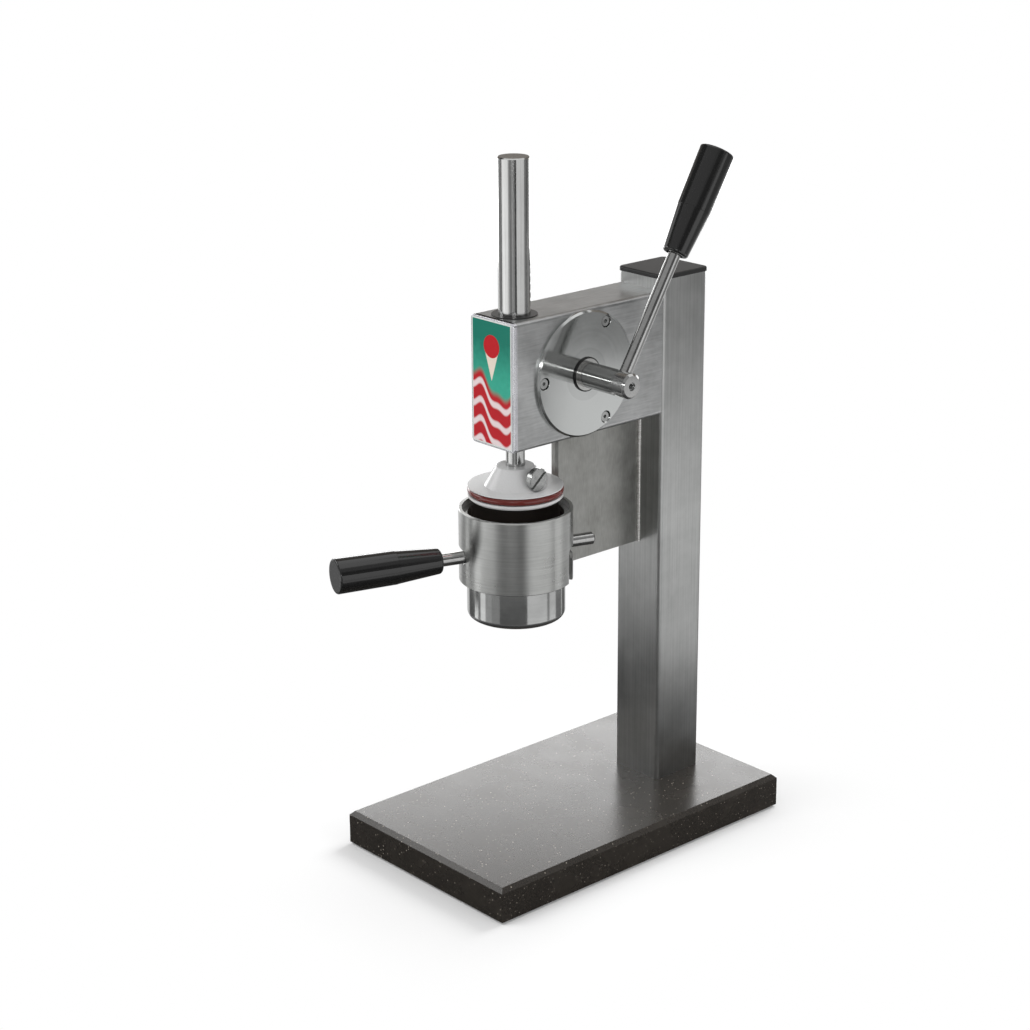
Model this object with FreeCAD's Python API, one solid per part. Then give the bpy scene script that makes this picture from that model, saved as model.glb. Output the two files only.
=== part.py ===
import FreeCAD, Part
import math
import os

from FreeCAD import Vector

# A lever press for ice cream noodles, in millimetres.
# +X is the lever side, -Y faces the operator, +Z is up.
# The origin lies on the counter, under the middle of the stone slab.

# Stone base
slab_width = 190.0
slab_length = 312.0
slab_thickness = 28.0
slab_chamfer = 3.5
mat_thickness = 2.0
mat_inset = 12.0

# Column, made from square tube
column_side = 50.0
column_wall = 3.0
column_corner = 3.5
column_sideways = 8.5
column_rear_margin = 33.5
column_above_head = 9.2
cap_thickness = 3.6
cap_overhang = 1.0
cap_edge = 1.5
cap_plug_depth = 12.0
cap_plug_wall = 2.0
foot_thickness = 12.0
foot_bolt_spacing = 22.0

# Bolts that hold the column's foot from under the slab
bolt_diameter = 8.0
bolt_head_diameter = 13.0
bolt_head_height = 8.0
bolt_engagement = 10.0
bolt_socket = 6.0
washer_diameter = 16.0
washer_thickness = 1.6
counterbore_room = 3.0
counterbore_depth = 12.0

# Rack and pinion
tooth_module = 2.0
pinion_teeth = 40
pressure_angle = 20.0
tooth_root_ratio = 1.25
flank_steps = 3
backlash = 0.2
pinion_width = 14.0
rack_pitch_offset = 8.8
web_recess = 3.0
web_rim = 6.0
web_hub = 7.0
key_side = 6.0
circlip_thickness = 1.2
circlip_section = 2.2
circlip_groove = 0.7
circlip_opening = 7.0

# Head, made from rectangular tube
head_wall = 3.0
head_corner = 3.5
pinion_headroom = 5.8
ram_reach = 135.0
nose_length = 22.5
cover_thickness = 3.0
cover_edge = 0.8
label_margin = 1.6
label_right_margin = 3.4
label_corner = 0.5
label_thickness = 0.3

# Ram, the round bar with the rack cut in its back
ram_diameter = 25.0
ram_rise = 120.6
ram_up_travel = 14.6
ram_chamfer = 1.0
ram_shoulder_lift = 2.0
stub_diameter = 15.0
bush_flange_diameter = 36.0
bush_flange_thickness = 0.6
bush_flange_edge = 0.2
bush_length = 16.0
bush_wall = 2.5

# Crank shaft and its bearings
shaft_diameter = 20.0
shaft_overhang = 50.0
shaft_chamfer = 1.7
shaft_end_gap = 0.5
bearing_wall = 1.5
bearing_collar_width = 2.1
bearing_collar_thickness = 1.5
bearing_collar_edge = 0.5
boss_diameter = 40.0
flange_diameter = 100.0
flange_thickness = 3.5
flange_chamfer = 1.5
flange_screw_diameter = 4.0
flange_screw_head = 8.0
flange_screw_sink = 1.0
flange_screw_socket = 2.9
flange_screw_edge = 6.3
flange_screw_angle = 61.5
flange_screw_length = 10.0

# Lever and grips
lever_diameter = 10.0
lever_inset = 12.2
lever_lean = 31.5
lever_tail = 9.0
lever_to_grip = 107.7
lever_sink_diameter = 13.0
grip_length = 86.3
grip_small_diameter = 20.2
grip_waist_diameter = 26.2
grip_waist_at = 37.0
grip_step = 0.2
grip_end_diameter = 28.0
grip_end_round = 1.6
grip_small_round = 2.2
grip_recess_diameter = 13.0
grip_recess_depth = 1.5
grip_bore_depth = 50.0
grub_screw_diameter = 6.7
grub_screw_sink = 1.2
grub_screw_socket = 4.0

# Pressing cup, its sleeve and the bayonet
die_bore = 75.8
tube_wall = 1.0
tube_round = 5.0
tube_lip = 5.0
ring_wall = 2.95
sleeve_wall = 2.8
sleeve_height = 59.0
sleeve_edge = 0.5
dish_clearance = 179.0
cup_below_sleeve = 30.8
rim_recess = 4.6
ring_lift = 3.0
bar_diameter = 10.0
bayonet_height = 23.1
bayonet_locked = 71.7
bayonet_turn = 40.0
handle_to_grip = 64.5
rear_pin_reach = 67.0
rear_pin_edge = 1.2
die_thickness = 5.0
die_hole_diameter = 4.5
die_hole_pitch = 7.4
die_hole_rings = 4

# Piston
piston_lift = 8.0
piston_thickness = 10.2
piston_edge = 1.5
o_ring_cord = 5.7
lip_thickness = 0.8
groove_play = 0.2
hub_height = 15.8
hub_top_diameter = 30.0
hub_base_diameter = 49.0
hub_round = 1.5
stub_floor = 4.5
clamp_screw_diameter = 8.0
clamp_head_diameter = 18.0
clamp_head_thickness = 4.8
clamp_head_edge = 0.5
clamp_slot_width = 2.2
clamp_slot_depth = 2.6
clamp_slot_angle = 40.0
clamp_screw_drop = 6.2
clamp_seat_depth = 3.9

# Bracket between column and sleeve
bracket_thickness = 8.0
bracket_lap = 1.5
bracket_drop = 1.5
bracket_edge = 2.1
weld_radius = 2.4

# Clearances
running_play = 0.05
body_play = 0.3
seat_play = 0.1
slot_play = 0.4
lip_play = 0.5
seal_play = 0.1
travel_end_gap = 2.0
edge_search = 0.01

# Heights
slab_top = mat_thickness + slab_thickness
cup_bottom = slab_top + dish_clearance
sleeve_bottom = cup_bottom + cup_below_sleeve
sleeve_top = sleeve_bottom + sleeve_height
cup_rim = sleeve_top - rim_recess
bar_z = sleeve_bottom + bayonet_height
piston_bottom = sleeve_top + piston_lift
piston_top = piston_bottom + piston_thickness
hub_top = piston_top + hub_height
clamp_head_top = hub_top - clamp_screw_drop + clamp_head_diameter / 2
head_bottom = max(hub_top, clamp_head_top) + ram_up_travel + travel_end_gap / 2
pitch_radius = tooth_module * pinion_teeth / 2
tip_radius = pitch_radius + tooth_module
root_radius = pitch_radius - tooth_root_ratio * tooth_module
head_height = 2 * (tip_radius + pinion_headroom + head_wall)
head_top = head_bottom + head_height
column_top = head_top + column_above_head
shaft_z = head_bottom + head_height / 2

# Places in plan
middle_x = column_sideways
column_back = slab_length / 2 - column_rear_margin
column_front = column_back - column_side
column_y = column_front + column_side / 2
ram_y = column_front - ram_reach
shaft_y = ram_y + rack_pitch_offset + pitch_radius
head_front = ram_y - nose_length
head_width = column_side
head_side = middle_x + head_width / 2
shaft_end = head_side + flange_thickness + shaft_overhang
lever_x = shaft_end - lever_inset
boss_face = pinion_width / 2 + circlip_thickness + body_play

# Radii that follow from the bore of the cup
bore_radius = die_bore / 2
tube_radius = bore_radius + tube_wall
ring_bore_radius = tube_radius + running_play
ring_radius = ring_bore_radius + ring_wall
sleeve_bore_radius = ring_radius + body_play
sleeve_radius = sleeve_bore_radius + sleeve_wall

# Way down of the ram from its place at rest
die_top = cup_bottom + tube_wall + die_thickness
ram_down_travel = piston_bottom - die_top - travel_end_gap

UP = Vector(0, 0, 1)
RIGHT = Vector(1, 0, 0)
REAR = Vector(0, 1, 0)


def save(shape, name):
    shape.exportStep("parts/" + name + ".step")


def joined(shapes):
    return shapes[0].multiFuse(shapes[1:]).removeSplitter()


def bar(diameter, start, end):
    run = end - start
    return Part.makeCylinder(diameter / 2, run.Length, start, run)


def block(low, high):
    size = high - low
    return Part.makeBox(size.x, size.y, size.z, low)


def rounded_outline(width, height, radius):
    """A flat rounded rectangle in the XY plane, centred on the origin."""
    x = width / 2
    y = height / 2
    slant = radius * (1 - math.sqrt(0.5))
    edges = []
    for quarter in range(4):
        half_run, half_rise = (x, y) if quarter % 2 == 0 else (y, x)
        side_start = Vector(half_run, radius - half_rise, 0)
        side_end = Vector(half_run, half_rise - radius, 0)
        corner_mid = Vector(half_run - slant, half_rise - slant, 0)
        corner_end = Vector(half_run - radius, half_rise, 0)
        side = Part.makeLine(side_start, side_end)
        corner = Part.Arc(side_end, corner_mid, corner_end).toShape()
        for edge in (side, corner):
            edge.rotate(Vector(), UP, 90 * quarter)
            edges.append(edge)
    return Part.Face(Part.Wire(edges))


def upright_prism(width, depth, radius, middle, bottom, top):
    """A rounded square prism that stands on end."""
    prism = rounded_outline(width, depth, radius).extrude(UP * (top - bottom))
    prism.translate(Vector(middle.x, middle.y, bottom))
    return prism


def level_prism(width, height, radius, front, back):
    """A rounded rectangular prism that lies along Y, at the head's place."""
    prism = rounded_outline(width, height, radius).extrude(UP * (back - front))
    prism.rotate(Vector(), RIGHT, -90)
    prism.translate(Vector(middle_x, front, shaft_z))
    return prism


def turned(points, base=Vector(), axis=UP):
    """Turns an outline of (radius, height) pairs round an axis."""
    corners = [Vector(radius, 0, height) for radius, height in points]
    outline = Part.makePolygon(corners + corners[:1])
    solid = Part.Face(outline).revolve(Vector(), UP, 360)
    solid.Placement = FreeCAD.Placement(base, FreeCAD.Rotation(UP, axis))
    return solid


def ring_edges(solid, radius, height):
    """The round edges of an upright turned piece at one radius and height."""
    found = []
    for edge in solid.Edges:
        curve = edge.Curve
        if not isinstance(curve, Part.Circle):
            continue
        if max(abs(curve.Radius - radius), abs(curve.Center.z - height)) < edge_search:
            found.append(edge)
    return found


def hexagon(across_flats, start, depth, direction):
    """A hexagonal plug, used to cut a key socket."""
    sides = 6
    radius = across_flats / 2 / math.cos(math.pi / sides)
    corners = []
    for side in range(sides):
        turn = math.pi * (2 * side + 1) / sides
        corners.append(Vector(radius * math.cos(turn), radius * math.sin(turn), 0))
    plug = Part.Face(Part.makePolygon(corners + corners[:1])).extrude(UP * depth)
    plug.Placement = FreeCAD.Placement(start, FreeCAD.Rotation(UP, direction))
    return plug


def in_plan(angle, radius, height):
    """A point round the ram's axis, by its angle from +X seen from above."""
    turn = math.radians(angle)
    return Vector(middle_x + radius * math.cos(turn), ram_y + radius * math.sin(turn), height)


def foot_bolt_places():
    reach = foot_bolt_spacing / 2
    return [Vector(middle_x, column_y + side * reach, 0) for side in (-1, 1)]


def base_slab():
    half_width = slab_width / 2
    half_length = slab_length / 2
    slab = block(Vector(-half_width, -half_length, mat_thickness),
                 Vector(half_width, half_length, slab_top))
    top_edges = [edge for edge in slab.Edges if edge.BoundBox.ZMin > slab_top - edge_search]
    slab = slab.makeChamfer(slab_chamfer, top_edges)
    counterbore = washer_diameter + counterbore_room
    for place in foot_bolt_places():
        bottom = place + UP * mat_thickness
        slab = slab.cut(bar(bolt_diameter + 2 * slot_play, bottom, place + UP * slab_top))
        slab = slab.cut(bar(counterbore, bottom, bottom + UP * counterbore_depth))
    return slab


def anti_slip_mat():
    half_width = slab_width / 2 - mat_inset
    half_length = slab_length / 2 - mat_inset
    mat = block(Vector(-half_width, -half_length, 0),
                Vector(half_width, half_length, mat_thickness))
    access = washer_diameter + counterbore_room
    for place in foot_bolt_places():
        mat = mat.cut(bar(access, place, place + UP * mat_thickness))
    return mat


def column():
    middle = Vector(middle_x, column_y, 0)
    inner = column_side - 2 * column_wall
    inner_corner = column_corner - column_wall
    tube = upright_prism(column_side, column_side, column_corner, middle, slab_top, column_top)
    room = upright_prism(inner, inner, inner_corner, middle, slab_top, column_top)
    return tube.cut(room)


def column_cap():
    middle = Vector(middle_x, column_y, 0)
    over = column_side + 2 * cap_overhang
    corner = column_corner + cap_overhang
    lid_top = column_top + cap_thickness
    lid = upright_prism(over, over, corner, middle, column_top, lid_top)
    rim = [edge for edge in lid.Edges if edge.BoundBox.ZMin > lid_top - edge_search]
    lid = lid.makeFillet(cap_edge, rim)
    plug_side = column_side - 2 * column_wall - 2 * seat_play
    hollow_side = plug_side - 2 * cap_plug_wall
    low = column_top - cap_plug_depth
    plug = upright_prism(plug_side, plug_side, column_wall, middle, low, column_top)
    hollow = upright_prism(hollow_side, hollow_side, cap_plug_wall, middle, low, column_top)
    return joined([lid, plug.cut(hollow)])


def column_foot():
    middle = Vector(middle_x, column_y, 0)
    side = column_side - 2 * column_wall - 2 * seat_play
    foot_top = slab_top + foot_thickness
    foot = upright_prism(side, side, column_wall, middle, slab_top, foot_top)
    for place in foot_bolt_places():
        hole = bar(bolt_diameter + 2 * seat_play, place + UP * slab_top, place + UP * foot_top)
        foot = foot.cut(hole)
    return foot


def base_bolts():
    seat = mat_thickness + counterbore_depth - washer_thickness
    bolts = []
    for place in foot_bolt_places():
        head_bottom_face = place + UP * (seat - bolt_head_height)
        shank_end = place + UP * (slab_top + bolt_engagement)
        head = bar(bolt_head_diameter, head_bottom_face, place + UP * seat)
        shank = bar(bolt_diameter, place + UP * seat, shank_end)
        recess = hexagon(bolt_socket, head_bottom_face, bolt_head_height / 2, UP)
        bolts.append(joined([head, shank]).cut(recess))
    return Part.makeCompound(bolts)


def base_washers():
    top = mat_thickness + counterbore_depth
    washers = []
    for place in foot_bolt_places():
        low = place + UP * (top - washer_thickness)
        plate = bar(washer_diameter, low, place + UP * top)
        washers.append(plate.cut(bar(bolt_diameter + 2 * seat_play, low, place + UP * top)))
    return Part.makeCompound(washers)


def flange_screw_places():
    """One screw towards the operator, two towards the column."""
    radius = flange_diameter / 2 - flange_screw_edge
    places = []
    for turn in (180, flange_screw_angle, -flange_screw_angle):
        angle = math.radians(turn)
        places.append(Vector(head_side, shaft_y + radius * math.cos(angle),
                             shaft_z + radius * math.sin(angle)))
    return places


def head_housing():
    tube_front = head_front + cover_thickness
    inner_width = head_width - 2 * head_wall
    inner_height = head_height - 2 * head_wall
    inner_corner = head_corner - head_wall
    tube = level_prism(head_width, head_height, head_corner, tube_front, column_front)
    room = level_prism(inner_width, inner_height, inner_corner, tube_front, column_front)
    housing = tube.cut(room)
    bush_hole = ram_diameter + 2 * running_play + 2 * bush_wall
    housing = housing.cut(bar(bush_hole, Vector(middle_x, ram_y, head_bottom),
                              Vector(middle_x, ram_y, head_top)))
    shaft_middle = Vector(middle_x, shaft_y, shaft_z)
    boss_hole = bar(boss_diameter + 2 * seat_play, shaft_middle, shaft_middle + RIGHT * head_width)
    housing = housing.cut(boss_hole)
    for place in flange_screw_places():
        tapped = bar(flange_screw_diameter + 2 * seat_play, place - RIGHT * head_wall * 2, place)
        housing = housing.cut(tapped)
    return housing


def head_front_cover():
    bush_room = ram_diameter / 2 + running_play + bush_wall + body_play
    spigot_length = nose_length - cover_thickness - bush_room
    spigot_width = head_width - 2 * head_wall - 2 * seat_play
    spigot_height = head_height - 2 * head_wall - 2 * seat_play
    back = head_front + cover_thickness
    plate = level_prism(head_width, head_height, head_corner, head_front, back)
    front_edges = [edge for edge in plate.Edges if edge.BoundBox.YMax < head_front + edge_search]
    plate = plate.makeFillet(cover_edge, front_edges)
    spigot = level_prism(spigot_width, spigot_height, head_wall, back, back + spigot_length)
    hollow = level_prism(spigot_width - 2 * head_wall, spigot_height - 2 * head_wall,
                         head_wall / 2, back, back + spigot_length)
    return joined([plate, spigot.cut(hollow)])


def front_label():
    width = head_width - label_margin - label_right_margin
    height = head_height - 2 * label_margin
    label = level_prism(width, height, label_corner, head_front - label_thickness, head_front)
    label.translate(RIGHT * (label_margin - label_right_margin) / 2)
    return label


def bearing_flange():
    face = Vector(head_side + flange_thickness, shaft_y, shaft_z)
    back = Vector(head_side, shaft_y, shaft_z)
    boss_end = Vector(middle_x + boss_face, shaft_y, shaft_z)
    disc = bar(flange_diameter, back, face)
    rim = [edge for edge in disc.Edges if edge.BoundBox.XMin > face.x - edge_search]
    disc = disc.makeChamfer(flange_chamfer, rim)
    boss = bar(boss_diameter, boss_end, back)
    bore = shaft_diameter + 2 * running_play + 2 * bearing_wall
    flange = joined([disc, boss]).cut(bar(bore, boss_end, face))
    for place in flange_screw_places():
        flange = flange.cut(countersunk_screw(place, seat_play))
    return flange


def countersunk_screw(place, play):
    """A countersunk screw below the flange's face, or its cavity with some play."""
    sink = 0 if play else flange_screw_sink
    face = flange_thickness - sink
    cone_end = flange_thickness - flange_screw_sink - flange_screw_head / 2 + flange_screw_diameter / 2
    head = flange_screw_head / 2 + flange_screw_sink - sink + play
    shank = flange_screw_diameter / 2 + play
    low = face - flange_screw_length
    return turned([(0, face), (head, face), (shank, cone_end), (shank, low), (0, low)],
                  place, RIGHT)


def flange_screws():
    screws = []
    for place in flange_screw_places():
        face = place + RIGHT * (flange_thickness - flange_screw_sink)
        socket = hexagon(flange_screw_socket, face, flange_screw_diameter / 2, -RIGHT)
        screws.append(countersunk_screw(place, 0).cut(socket))
    return Part.makeCompound(screws)


def shaft_bush_right():
    bore = shaft_diameter / 2 + running_play
    outside = bore + bearing_wall
    length = head_width / 2 - boss_face + flange_thickness
    collar = outside + bearing_collar_width
    top = bearing_collar_thickness
    points = [(bore, -length), (outside, -length), (outside, 0), (collar, 0),
              (collar, top - bearing_collar_edge), (collar - bearing_collar_edge, top), (bore, top)]
    return turned(points, Vector(head_side + flange_thickness, shaft_y, shaft_z), RIGHT)


def left_wall_inside():
    return Vector(middle_x - head_width / 2 + head_wall, shaft_y, shaft_z)


def left_bearing_boss():
    boss_end = Vector(middle_x - boss_face, shaft_y, shaft_z)
    bore = shaft_diameter + 2 * running_play + 2 * bearing_wall
    boss = bar(boss_diameter, left_wall_inside(), boss_end)
    return boss.cut(bar(bore, left_wall_inside(), boss_end))


def shaft_bush_left():
    boss_end = Vector(middle_x - boss_face, shaft_y, shaft_z)
    bore = shaft_diameter + 2 * running_play
    bush = bar(bore + 2 * bearing_wall, left_wall_inside(), boss_end)
    return bush.cut(bar(bore, left_wall_inside(), boss_end))


def ram_bush_top():
    """The upper bush, whose thin flange lies on the head."""
    bore = ram_diameter / 2 + running_play
    outside = bore + bush_wall
    collar = bush_flange_diameter / 2
    edge = bush_flange_edge
    points = [(bore, -bush_length), (outside, -bush_length), (outside, 0), (collar, 0),
              (collar, bush_flange_thickness - edge), (collar - edge, bush_flange_thickness),
              (bore, bush_flange_thickness)]
    return turned(points, Vector(middle_x, ram_y, head_top))


def ram_bush_bottom():
    """The lower bush, flush below and long enough for the ram's shoulder at the top."""
    length = ram_shoulder_lift + ram_chamfer + ram_up_travel
    low = Vector(middle_x, ram_y, head_bottom)
    bore = ram_diameter + 2 * running_play
    bush = bar(bore + 2 * bush_wall, low, low + UP * length)
    return bush.cut(bar(bore, low, low + UP * length))


def bracket_plate():
    front = ram_y + sleeve_radius - bracket_lap
    plate = block(Vector(middle_x - bracket_thickness, front, sleeve_bottom - bracket_drop),
                  Vector(middle_x, column_front, head_bottom))
    front_edges = [edge for edge in plate.Edges
                   if edge.BoundBox.YMax < front + edge_search < edge.BoundBox.ZLength + front]
    plate = plate.makeChamfer(bracket_edge, front_edges)
    low = Vector(middle_x, ram_y, sleeve_bottom - bracket_drop)
    return plate.cut(bar(2 * sleeve_radius, low, Vector(middle_x, ram_y, sleeve_top)))


def bracket_welds():
    """Beads in the four upright corners: two on the column, two on the sleeve."""
    plate = bracket_plate()
    low = sleeve_bottom - bracket_drop
    column_block = block(Vector(middle_x - column_side / 2, column_front, low),
                         Vector(middle_x + column_side / 2, column_back, head_bottom))
    sleeve_core = bar(2 * sleeve_radius, Vector(middle_x, ram_y, low),
                      Vector(middle_x, ram_y, sleeve_top))
    seam_y = ram_y + math.sqrt(sleeve_radius ** 2 - bracket_thickness ** 2)
    beads = []
    for x in (middle_x, middle_x - bracket_thickness):
        bead = bar(2 * weld_radius, Vector(x, column_front, low),
                   Vector(x, column_front, head_bottom))
        beads.append(bead.cut(plate).cut(column_block))
        bead = bar(2 * weld_radius, Vector(x, seam_y, sleeve_bottom),
                   Vector(x, seam_y, sleeve_top))
        beads.append(bead.cut(plate).cut(sleeve_core))
    return Part.makeCompound(beads)


def bayonet_slot(angle):
    """An L-shaped slot: up from the sleeve's lower edge, then round to the lock."""
    width = bar_diameter + 2 * slot_play
    inner = sleeve_bore_radius - 2 * sleeve_wall
    outer = sleeve_radius + 2 * sleeve_wall
    entry = angle - bayonet_turn
    corners = [Vector(inner, 0, bar_z - width / 2), Vector(outer, 0, bar_z - width / 2),
               Vector(outer, 0, bar_z + width / 2), Vector(inner, 0, bar_z + width / 2)]
    sweep = Part.Face(Part.makePolygon(corners + corners[:1]))
    sweep = sweep.revolve(Vector(), UP, bayonet_turn)
    sweep.rotate(Vector(), UP, entry)
    sweep.translate(Vector(middle_x, ram_y, 0))
    mouth = block(Vector(inner, -width / 2, sleeve_bottom - sleeve_wall),
                  Vector(outer, width / 2, bar_z))
    mouth.rotate(Vector(), UP, entry)
    mouth.translate(Vector(middle_x, ram_y, 0))
    ends = [bar(width, in_plan(turn, inner, bar_z), in_plan(turn, outer, bar_z))
            for turn in (entry, angle)]
    return joined([sweep, mouth] + ends)


def cup_sleeve():
    base = Vector(middle_x, ram_y, sleeve_bottom)
    top = Vector(middle_x, ram_y, sleeve_top)
    sleeve = bar(2 * sleeve_radius, base, top).cut(bar(2 * sleeve_bore_radius, base, top))
    rims = ring_edges(sleeve, sleeve_radius, sleeve_top)
    rims += ring_edges(sleeve, sleeve_radius, sleeve_bottom)
    sleeve = sleeve.makeChamfer(sleeve_edge, rims)
    for angle in (bayonet_locked, bayonet_locked + 180):
        sleeve = sleeve.cut(bayonet_slot(angle))
    return sleeve


def cup_ring():
    base = Vector(middle_x, ram_y, sleeve_bottom + ring_lift)
    top = Vector(middle_x, ram_y, cup_rim - tube_wall)
    ring = bar(2 * ring_radius, base, top).cut(bar(2 * ring_bore_radius, base, top))
    for angle in (bayonet_locked, bayonet_locked + 180):
        ring = ring.cut(bar(bar_diameter, in_plan(angle, 0, bar_z),
                            in_plan(angle, sleeve_radius, bar_z)))
    return ring


def die_hole_places():
    """The holes of the die, in rings of six, twelve, eighteen and so on."""
    places = [Vector(middle_x, ram_y, 0)]
    for ring in range(1, die_hole_rings + 1):
        count = 6 * ring
        for hole in range(count):
            places.append(in_plan(360 * hole / count, ring * die_hole_pitch, 0))
    return places


def cup_tube():
    """The thin tube of the cup, its rim flanged out and its foot turned in."""
    floor = cup_bottom + tube_wall
    rim_under = cup_rim - tube_wall
    mouth = bore_radius - tube_lip
    points = [(mouth, cup_bottom), (tube_radius, cup_bottom), (tube_radius, rim_under),
              (ring_radius, rim_under), (ring_radius, cup_rim), (bore_radius, cup_rim),
              (bore_radius, floor), (mouth, floor)]
    tube = turned(points)
    tube = tube.makeFillet(tube_round, ring_edges(tube, tube_radius, cup_bottom))
    tube = tube.makeFillet(tube_round - tube_wall, ring_edges(tube, bore_radius, floor))
    tube.translate(Vector(middle_x, ram_y, 0))
    return tube


def die_plate():
    """The holed plate that shapes the noodles; its rounded edge sits in the tube's foot."""
    low = Vector(middle_x, ram_y, cup_bottom + tube_wall)
    high = Vector(middle_x, ram_y, die_top)
    radius = bore_radius - seat_play
    plate = bar(2 * radius, low, high)
    plate = plate.makeFillet(tube_round - tube_wall, ring_edges(plate, radius, low.z))
    holes = [bar(die_hole_diameter, place + UP * cup_bottom, place + UP * (die_top + tube_wall))
             for place in die_hole_places()]
    return plate.cut(Part.makeCompound(holes))


def grip(start, direction):
    """A tapered machine grip whose small end is at start."""
    small = grip_small_diameter / 2
    waist = grip_waist_diameter / 2
    end = grip_end_diameter / 2
    points = [(0, 0), (small, 0), (waist, grip_waist_at),
              (waist + grip_step, grip_waist_at + grip_step), (end, grip_length), (0, grip_length)]
    handle = turned(points)
    handle = handle.makeFillet(grip_small_round, ring_edges(handle, small, 0))
    handle = handle.makeFillet(grip_end_round, ring_edges(handle, end, grip_length))
    handle = handle.cut(bar(grip_recess_diameter, Vector(), UP * grip_recess_depth))
    handle = handle.cut(bar(lever_diameter + 2 * running_play, Vector(), UP * grip_bore_depth))
    handle.Placement = FreeCAD.Placement(start, FreeCAD.Rotation(UP, direction))
    return handle


def handle_direction():
    turn = math.radians(bayonet_locked + 180)
    return Vector(math.cos(turn), math.sin(turn), 0)


def cup_handle_bar():
    inner_end = in_plan(bayonet_locked + 180, tube_radius + seat_play, bar_z)
    axis_point = Vector(middle_x, ram_y, bar_z)
    outer_end = axis_point + handle_direction() * (handle_to_grip + grip_bore_depth - body_play)
    shell = bar(2 * ring_radius, Vector(middle_x, ram_y, sleeve_bottom),
                Vector(middle_x, ram_y, sleeve_top))
    rod = bar(bar_diameter, inner_end, outer_end)
    hidden = rod.common(shell).cut(
        bar(2 * tube_radius + 2 * seat_play, Vector(middle_x, ram_y, sleeve_bottom),
            Vector(middle_x, ram_y, sleeve_top)))
    return joined([rod.cut(shell), hidden])


def cup_handle_grip():
    axis_point = Vector(middle_x, ram_y, bar_z)
    return grip(axis_point + handle_direction() * handle_to_grip, handle_direction())


def cup_rear_pin():
    start = in_plan(bayonet_locked, 0, bar_z)
    end = in_plan(bayonet_locked, rear_pin_reach, bar_z)
    pin = bar(bar_diameter, start, end)
    direction = (end - start).normalize()
    tip = [edge for edge in pin.Edges
           if isinstance(edge.Curve, Part.Circle) and (edge.Curve.Center - end).Length < edge_search]
    pin = pin.makeChamfer(rear_pin_edge, tip)
    core = bar(2 * tube_radius + 2 * seat_play, Vector(middle_x, ram_y, sleeve_bottom),
               Vector(middle_x, ram_y, sleeve_top))
    return pin.cut(core)


def rack_gaps():
    """Numbers of the tooth gaps, counted from the one that faces the shaft."""
    half_contact = math.sqrt(tip_radius ** 2 - (pitch_radius - tooth_module) ** 2)
    pitch = math.pi * tooth_module
    below = math.ceil((ram_up_travel + half_contact) / pitch)
    above = math.ceil((ram_down_travel + half_contact) / pitch)
    return range(-below, above + 1)


def rack_cutter():
    """The comb of tooth gaps, with the flat that the tooth tips lie in."""
    pitch = math.pi * tooth_module
    slope = math.tan(math.radians(pressure_angle))
    gap = (pitch + backlash) / 2
    tip_half = gap / 2 + tooth_module * slope
    root_half = gap / 2 - tooth_root_ratio * tooth_module * slope
    tip_y = rack_pitch_offset + tooth_module
    root_y = rack_pitch_offset - tooth_root_ratio * tooth_module
    gaps = rack_gaps()
    low = gaps[0] * pitch - pitch / 2
    high = gaps[-1] * pitch + pitch / 2
    points = [(ram_diameter, low), (tip_y, low)]
    for number in gaps:
        middle = number * pitch
        points += [(tip_y, middle - tip_half), (root_y, middle - root_half),
                   (root_y, middle + root_half), (tip_y, middle + tip_half)]
    points += [(tip_y, high), (ram_diameter, high)]
    corners = [Vector(middle_x - ram_diameter, ram_y + y, shaft_z + z) for y, z in points]
    face = Part.Face(Part.makePolygon(corners + corners[:1]))
    return face.extrude(RIGHT * 2 * ram_diameter)


def ram_rack_bar():
    shoulder = head_bottom + ram_shoulder_lift
    top = head_top + ram_rise
    foot = piston_bottom + stub_floor
    full = ram_diameter / 2
    stub = stub_diameter / 2
    points = [(0, foot), (stub - ram_chamfer, foot), (stub, foot + ram_chamfer),
              (stub, shoulder), (full - ram_chamfer, shoulder), (full, shoulder + ram_chamfer),
              (full, top - ram_chamfer), (full - ram_chamfer, top), (0, top)]
    return turned(points, Vector(middle_x, ram_y, 0)).cut(rack_cutter())


def clamp_screw_start():
    return Vector(middle_x, ram_y, hub_top - clamp_screw_drop)


def clamp_seat_radius():
    """Where the flat seat of the clamp screw's head lies on the hub's cone."""
    share = clamp_screw_drop / hub_height
    cone = hub_top_diameter + (hub_base_diameter - hub_top_diameter) * share
    return cone / 2 + clamp_seat_depth


def piston():
    outside = bore_radius - lip_play
    groove = bore_radius - seal_play - o_ring_cord
    groove_top = piston_top - lip_thickness
    groove_bottom = groove_top - o_ring_cord - groove_play
    points = [(0, piston_bottom), (outside - piston_edge, piston_bottom),
              (outside, piston_bottom + piston_edge), (outside, groove_bottom),
              (groove, groove_bottom), (groove, groove_top), (outside, groove_top),
              (outside, piston_top), (hub_base_diameter / 2, piston_top),
              (hub_top_diameter / 2, hub_top), (0, hub_top)]
    body = turned(points)
    body = body.makeFillet(hub_round, ring_edges(body, hub_top_diameter / 2, hub_top))
    body.translate(Vector(middle_x, ram_y, 0))
    socket_floor = Vector(middle_x, ram_y, piston_bottom + stub_floor - seat_play)
    body = body.cut(bar(stub_diameter + 2 * running_play, socket_floor,
                        Vector(middle_x, ram_y, hub_top)))
    start = clamp_screw_start()
    seat = start + RIGHT * clamp_seat_radius()
    body = body.cut(bar(clamp_screw_diameter + 2 * running_play, start, seat))
    seat_room = clamp_head_diameter + 2 * body_play
    return body.cut(bar(seat_room, seat, seat + RIGHT * hub_base_diameter / 2))


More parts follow.
